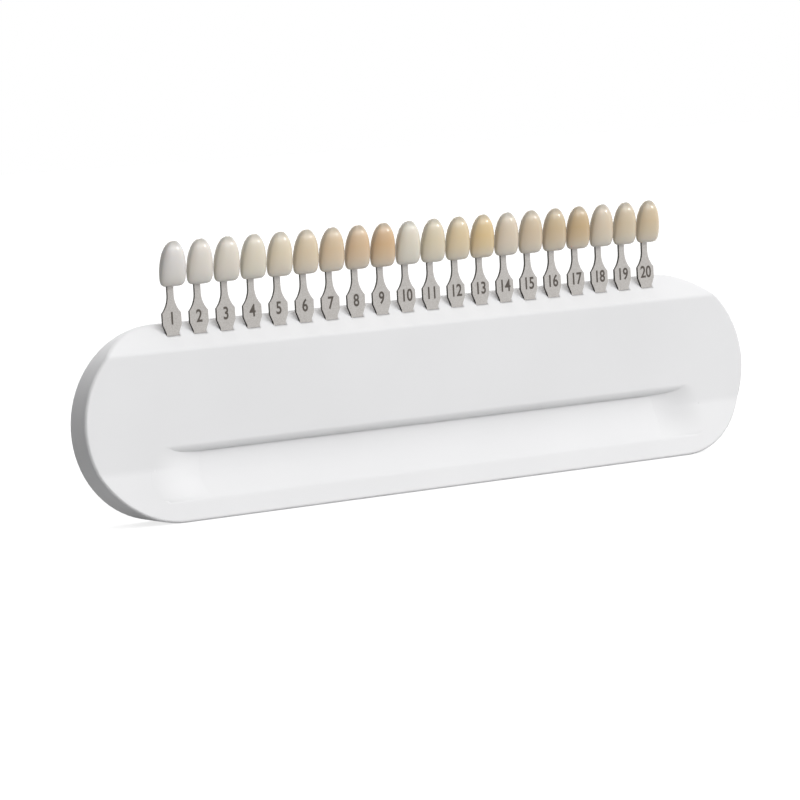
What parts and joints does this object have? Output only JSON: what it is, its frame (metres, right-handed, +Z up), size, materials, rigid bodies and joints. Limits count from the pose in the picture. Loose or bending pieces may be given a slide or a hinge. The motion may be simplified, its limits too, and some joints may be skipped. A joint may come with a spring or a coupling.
{
  "type": "dental shade guide",
  "caption": "Long white holder that stands on its foot with a row of lift-out tabs, each a flat steel stem with a tooth-shaped colour sample, for matching the colour of a tooth.",
  "frame": {"origin": "middle of the foot, under the centre of the whole object's box", "axes": "+X along the row of tabs, left to right seen from the front; -Y towards the front; +Z up"},
  "size_m": [0.237, 0.0139, 0.0802],
  "materials": {
    "holder_plastic": "satin moulded white",
    "cover_plastic": "fine matt moulded white",
    "spring_steel": "cold rolled",
    "stem_steel": "fine blasted stainless",
    "shade_01": "polished, slightly translucent",
    "shade_02": "polished, slightly translucent",
    "shade_03": "polished, slightly translucent",
    "shade_04": "polished, slightly translucent",
    "shade_05": "polished, slightly translucent",
    "shade_06": "polished, slightly translucent",
    "shade_07": "polished, slightly translucent",
    "shade_08": "polished, slightly translucent",
    "shade_09": "polished, slightly translucent",
    "shade_10": "polished, slightly translucent",
    "shade_11": "polished, slightly translucent",
    "shade_12": "polished, slightly translucent",
    "shade_13": "polished, slightly translucent",
    "shade_14": "polished, slightly translucent",
    "shade_15": "polished, slightly translucent",
    "shade_16": "polished, slightly translucent",
    "shade_17": "polished, slightly translucent",
    "shade_18": "polished, slightly translucent",
    "shade_19": "polished, slightly translucent",
    "shade_20": "polished, slightly translucent"
  },
  "bodies": {
    "holder": {"front_shell": "holder_plastic", "rear_cover": "cover_plastic", "retaining_comb": "spring_steel"},
    "tab_01": {"tab_stem_01": "stem_steel", "shade_tooth_01": "shade_01"},
    "tab_02": {"tab_stem_02": "stem_steel", "shade_tooth_02": "shade_02"},
    "tab_03": {"tab_stem_03": "stem_steel", "shade_tooth_03": "shade_03"},
    "tab_04": {"tab_stem_04": "stem_steel", "shade_tooth_04": "shade_04"},
    "tab_05": {"tab_stem_05": "stem_steel", "shade_tooth_05": "shade_05"},
    "tab_06": {"tab_stem_06": "stem_steel", "shade_tooth_06": "shade_06"},
    "tab_07": {"tab_stem_07": "stem_steel", "shade_tooth_07": "shade_07"},
    "tab_08": {"tab_stem_08": "stem_steel", "shade_tooth_08": "shade_08"},
    "tab_09": {"tab_stem_09": "stem_steel", "shade_tooth_09": "shade_09"},
    "tab_10": {"tab_stem_10": "stem_steel", "shade_tooth_10": "shade_10"},
    "tab_11": {"tab_stem_11": "stem_steel", "shade_tooth_11": "shade_11"},
    "tab_12": {"tab_stem_12": "stem_steel", "shade_tooth_12": "shade_12"},
    "tab_13": {"tab_stem_13": "stem_steel", "shade_tooth_13": "shade_13"},
    "tab_14": {"tab_stem_14": "stem_steel", "shade_tooth_14": "shade_14"},
    "tab_15": {"tab_stem_15": "stem_steel", "shade_tooth_15": "shade_15"},
    "tab_16": {"tab_stem_16": "stem_steel", "shade_tooth_16": "shade_16"},
    "tab_17": {"tab_stem_17": "stem_steel", "shade_tooth_17": "shade_17"},
    "tab_18": {"tab_stem_18": "stem_steel", "shade_tooth_18": "shade_18"},
    "tab_19": {"tab_stem_19": "stem_steel", "shade_tooth_19": "shade_19"},
    "tab_20": {"tab_stem_20": "stem_steel", "shade_tooth_20": "shade_20"}
  },
  "joints": [
    {"name": "tab_01_lift", "type": "slide", "parent": "holder", "child": "tab_01", "axis": [0, 0, 1], "range_m": [0, 0.025]},
    {"name": "tab_02_lift", "type": "slide", "parent": "holder", "child": "tab_02", "axis": [0, 0, 1], "range_m": [0, 0.025]},
    {"name": "tab_03_lift", "type": "slide", "parent": "holder", "child": "tab_03", "axis": [0, 0, 1], "range_m": [0, 0.025]},
    {"name": "tab_04_lift", "type": "slide", "parent": "holder", "child": "tab_04", "axis": [0, 0, 1], "range_m": [0, 0.025]},
    {"name": "tab_05_lift", "type": "slide", "parent": "holder", "child": "tab_05", "axis": [0, 0, 1], "range_m": [0, 0.025]},
    {"name": "tab_06_lift", "type": "slide", "parent": "holder", "child": "tab_06", "axis": [0, 0, 1], "range_m": [0, 0.025]},
    {"name": "tab_07_lift", "type": "slide", "parent": "holder", "child": "tab_07", "axis": [0, 0, 1], "range_m": [0, 0.025]},
    {"name": "tab_08_lift", "type": "slide", "parent": "holder", "child": "tab_08", "axis": [0, 0, 1], "range_m": [0, 0.025]},
    {"name": "tab_09_lift", "type": "slide", "parent": "holder", "child": "tab_09", "axis": [0, 0, 1], "range_m": [0, 0.025]},
    {"name": "tab_10_lift", "type": "slide", "parent": "holder", "child": "tab_10", "axis": [0, 0, 1], "range_m": [0, 0.025]},
    {"name": "tab_11_lift", "type": "slide", "parent": "holder", "child": "tab_11", "axis": [0, 0, 1], "range_m": [0, 0.025]},
    {"name": "tab_12_lift", "type": "slide", "parent": "holder", "child": "tab_12", "axis": [0, 0, 1], "range_m": [0, 0.025]},
    {"name": "tab_13_lift", "type": "slide", "parent": "holder", "child": "tab_13", "axis": [0, 0, 1], "range_m": [0, 0.025]},
    {"name": "tab_14_lift", "type": "slide", "parent": "holder", "child": "tab_14", "axis": [0, 0, 1], "range_m": [0, 0.025]},
    {"name": "tab_15_lift", "type": "slide", "parent": "holder", "child": "tab_15", "axis": [0, 0, 1], "range_m": [0, 0.025]},
    {"name": "tab_16_lift", "type": "slide", "parent": "holder", "child": "tab_16", "axis": [0, 0, 1], "range_m": [0, 0.025]},
    {"name": "tab_17_lift", "type": "slide", "parent": "holder", "child": "tab_17", "axis": [0, 0, 1], "range_m": [0, 0.025]},
    {"name": "tab_18_lift", "type": "slide", "parent": "holder", "child": "tab_18", "axis": [0, 0, 1], "range_m": [0, 0.025]},
    {"name": "tab_19_lift", "type": "slide", "parent": "holder", "child": "tab_19", "axis": [0, 0, 1], "range_m": [0, 0.025]},
    {"name": "tab_20_lift", "type": "slide", "parent": "holder", "child": "tab_20", "axis": [0, 0, 1], "range_m": [0, 0.025]}
  ]
}
